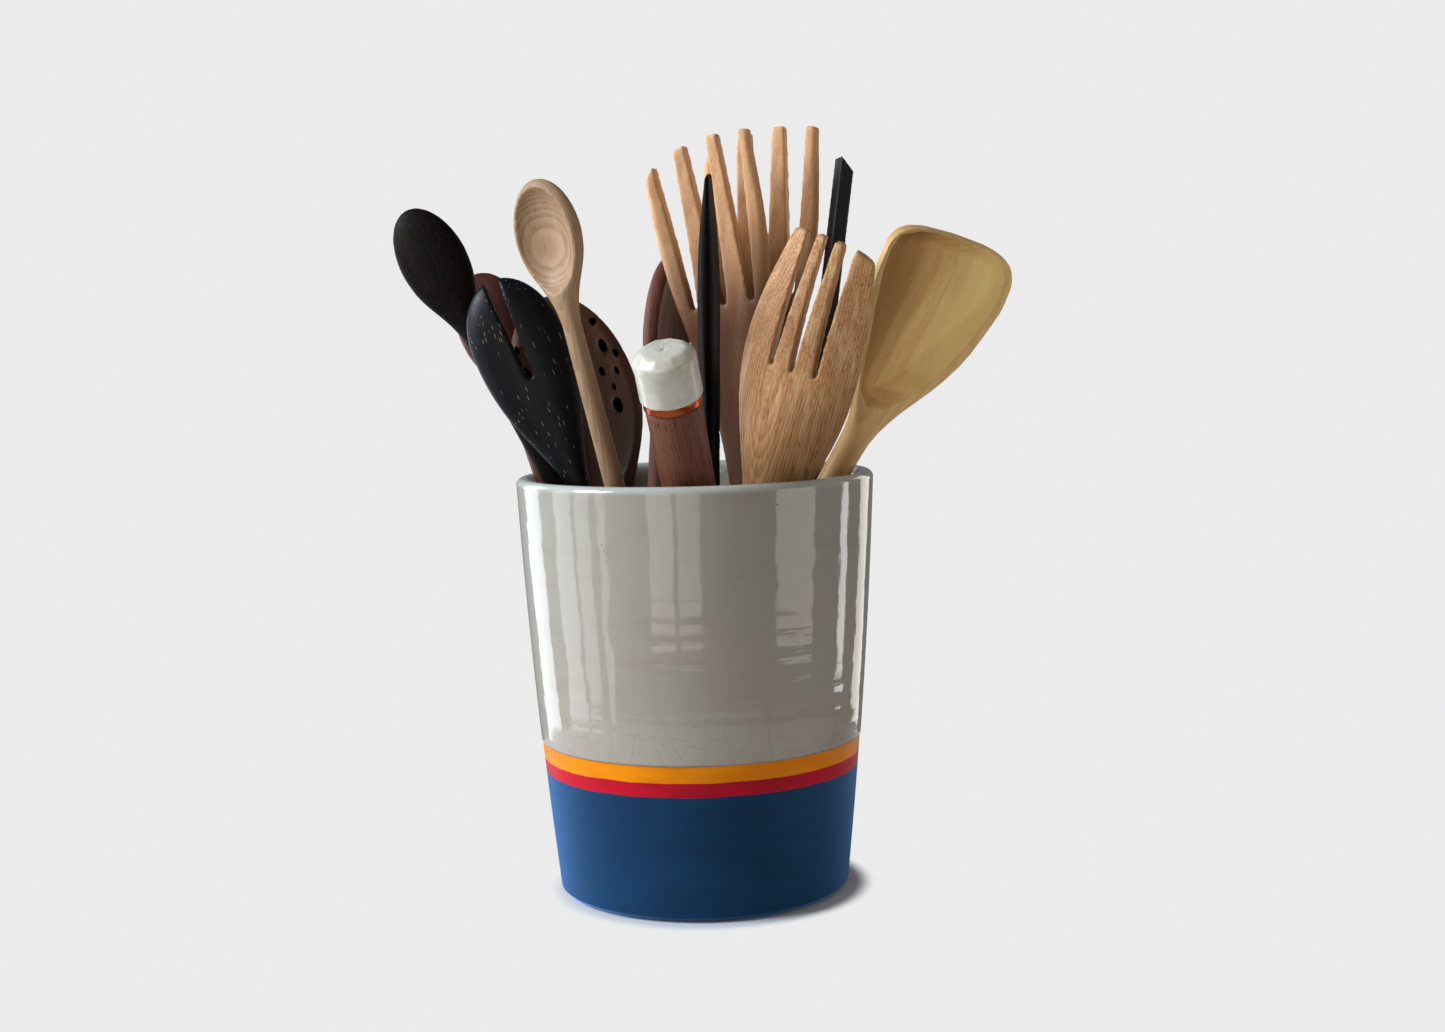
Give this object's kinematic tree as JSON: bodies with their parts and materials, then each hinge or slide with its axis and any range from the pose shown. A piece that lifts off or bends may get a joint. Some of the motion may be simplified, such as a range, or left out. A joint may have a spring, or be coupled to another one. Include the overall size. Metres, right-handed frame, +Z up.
{
  "type": "utensil crock with kitchen tools",
  "caption": "Tapered stoneware crock with painted bands, holding wooden spoons, spatulas, salad hands, a fork and a marble-headed muddler that lift out.",
  "frame": {"origin": "centre of the crock's flat base, on the surface it stands on", "axes": "+Z up through the crock's mouth, -Y toward the front of the picture, +X to its right"},
  "size_m": [0.2578, 0.166, 0.3275],
  "materials": {
    "glazed_stoneware": "glossy glaze over stoneware, with painted bands",
    "wenge": "oiled",
    "maple": "oiled",
    "jarrah": "oiled",
    "walnut": "oiled",
    "ebony": "oiled and rubbed",
    "olive_walnut": "oiled",
    "black_wood": "satin",
    "beech": "oiled",
    "carved_beech": "carved and oiled",
    "bamboo": "sanded and oiled",
    "black_bar": "matte",
    "muddler_wood": "oiled",
    "copper": "polished copper",
    "marble": "honed marble",
    "steel": "turned"
  },
  "bodies": {
    "crock": {"crock": "glazed_stoneware"},
    "dark_spoon": {"dark_spoon": "wenge"},
    "pale_spoon": {"pale_spoon": "maple"},
    "red_spoon": {"red_spoon": "jarrah"},
    "pointed_spoon": {"pointed_spoon": "walnut"},
    "slotted_spoon": {"slotted_spoon": "ebony"},
    "skimmer": {"skimmer": "olive_walnut"},
    "black_spatula": {"black_spatula": "black_wood"},
    "front_salad_hand": {"front_salad_hand": "beech"},
    "back_salad_hand": {"back_salad_hand": "beech"},
    "fork": {"fork": "carved_beech"},
    "wok_spatula": {"wok_spatula": "bamboo"},
    "black_stick": {"black_stick": "black_bar"},
    "muddler": {"muddler_shaft": "muddler_wood", "muddler_band": "copper", "muddler_head": "marble", "muddler_stud": "steel"}
  },
  "joints": [
    {"name": "dark_spoon_lift", "type": "slide", "parent": "crock", "child": "dark_spoon", "axis": [-0.4472, -0.0516, 0.8929], "range_m": [0, 0.1867]},
    {"name": "pale_spoon_lift", "type": "slide", "parent": "crock", "child": "pale_spoon", "axis": [-0.2264, -0.0149, 0.9739], "range_m": [0, 0.1712]},
    {"name": "red_spoon_lift", "type": "slide", "parent": "crock", "child": "red_spoon", "axis": [-0.3094, 0.165, 0.9365], "range_m": [0, 0.178]},
    {"name": "pointed_spoon_lift", "type": "slide", "parent": "crock", "child": "pointed_spoon", "axis": [0.062, 0.2219, 0.9731], "range_m": [0, 0.1708]},
    {"name": "slotted_spoon_lift", "type": "slide", "parent": "crock", "child": "slotted_spoon", "axis": [-0.3746, 0.011, 0.9271], "range_m": [0, 0.1796]},
    {"name": "skimmer_lift", "type": "slide", "parent": "crock", "child": "skimmer", "axis": [-0.3307, 0.0836, 0.94], "range_m": [0, 0.1768]},
    {"name": "black_spatula_lift", "type": "slide", "parent": "crock", "child": "black_spatula", "axis": [0.0242, -0.1493, 0.9885], "range_m": [0, 0.1689]},
    {"name": "front_salad_hand_lift", "type": "slide", "parent": "crock", "child": "front_salad_hand", "axis": [-0.105, 0.0779, 0.9914], "range_m": [0, 0.1681]},
    {"name": "back_salad_hand_lift", "type": "slide", "parent": "crock", "child": "back_salad_hand", "axis": [0.0566, 0.0826, 0.995], "range_m": [0, 0.1675]},
    {"name": "fork_lift", "type": "slide", "parent": "crock", "child": "fork", "axis": [0.184, -0.3662, 0.9122], "range_m": [0, 0.1816]},
    {"name": "wok_spatula_lift", "type": "slide", "parent": "crock", "child": "wok_spatula", "axis": [0.4923, -0.1614, 0.8553], "range_m": [0, 0.1943]},
    {"name": "black_stick_lift", "type": "slide", "parent": "crock", "child": "black_stick", "axis": [0.1373, 0.1353, 0.9813], "range_m": [0, 0.1743]},
    {"name": "muddler_lift", "type": "slide", "parent": "crock", "child": "muddler", "axis": [-0.1199, -0.4409, 0.8895], "range_m": [0, 0.184]}
  ]
}
